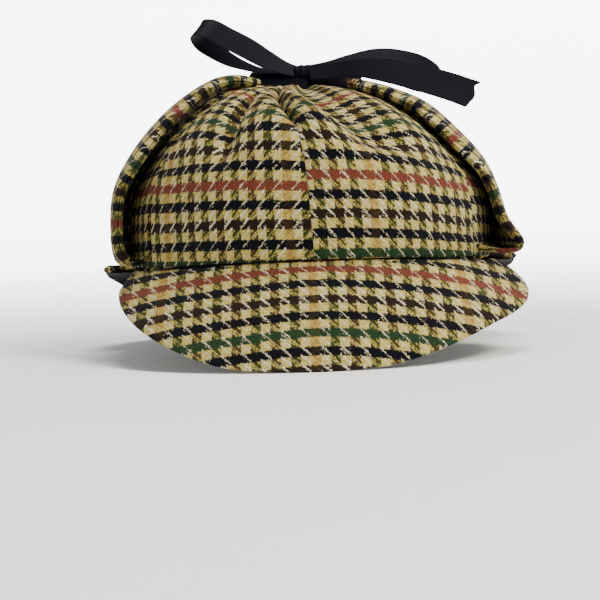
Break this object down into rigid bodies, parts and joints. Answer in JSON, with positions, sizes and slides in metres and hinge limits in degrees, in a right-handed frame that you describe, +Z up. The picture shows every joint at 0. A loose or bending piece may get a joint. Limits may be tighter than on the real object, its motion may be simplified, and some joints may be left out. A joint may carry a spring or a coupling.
{
  "type": "deerstalker hat",
  "caption": "Checked tweed cap with a gored crown, a peak at front and back, and ear flaps folded up and tied over the top with a satin ribbon bow.",
  "frame": {"origin": "on the surface that the hat rests on, under the middle of the crown", "axes": "+X towards the wearer's left side, which is at the right seen from the front, +Y towards the back peak, +Z up through the bow"},
  "size_m": [0.193, 0.2818, 0.1529],
  "materials": {
    "tweed": "checked wool tweed in cream, black, green, brown, red and gold, with a twill weave and a soft fuzzy surface",
    "satin_lining": "plain black satin lining, softly glossy",
    "satin_ribbon": "navy-black satin ribbon with a soft gloss"
  },
  "bodies": {
    "root": {"gore_front_right": "tweed", "gore_side_right": "tweed", "gore_back_right": "tweed", "gore_back_left": "tweed", "gore_side_left": "tweed", "gore_front_left": "tweed", "front_peak": "tweed", "back_peak": "tweed", "ear_flap_left": "tweed", "ear_flap_left_facing": "tweed", "ear_flap_right": "tweed", "ear_flap_right_facing": "tweed", "front_peak_lining": "satin_lining", "back_peak_lining": "satin_lining", "ribbon_tie_left": "satin_ribbon", "ribbon_tie_right": "satin_ribbon", "bow_knot": "satin_ribbon", "bow_loop_left": "satin_ribbon", "bow_loop_right": "satin_ribbon", "bow_tail_front": "satin_ribbon", "bow_tail_back": "satin_ribbon"}
  },
  "joints": []
}
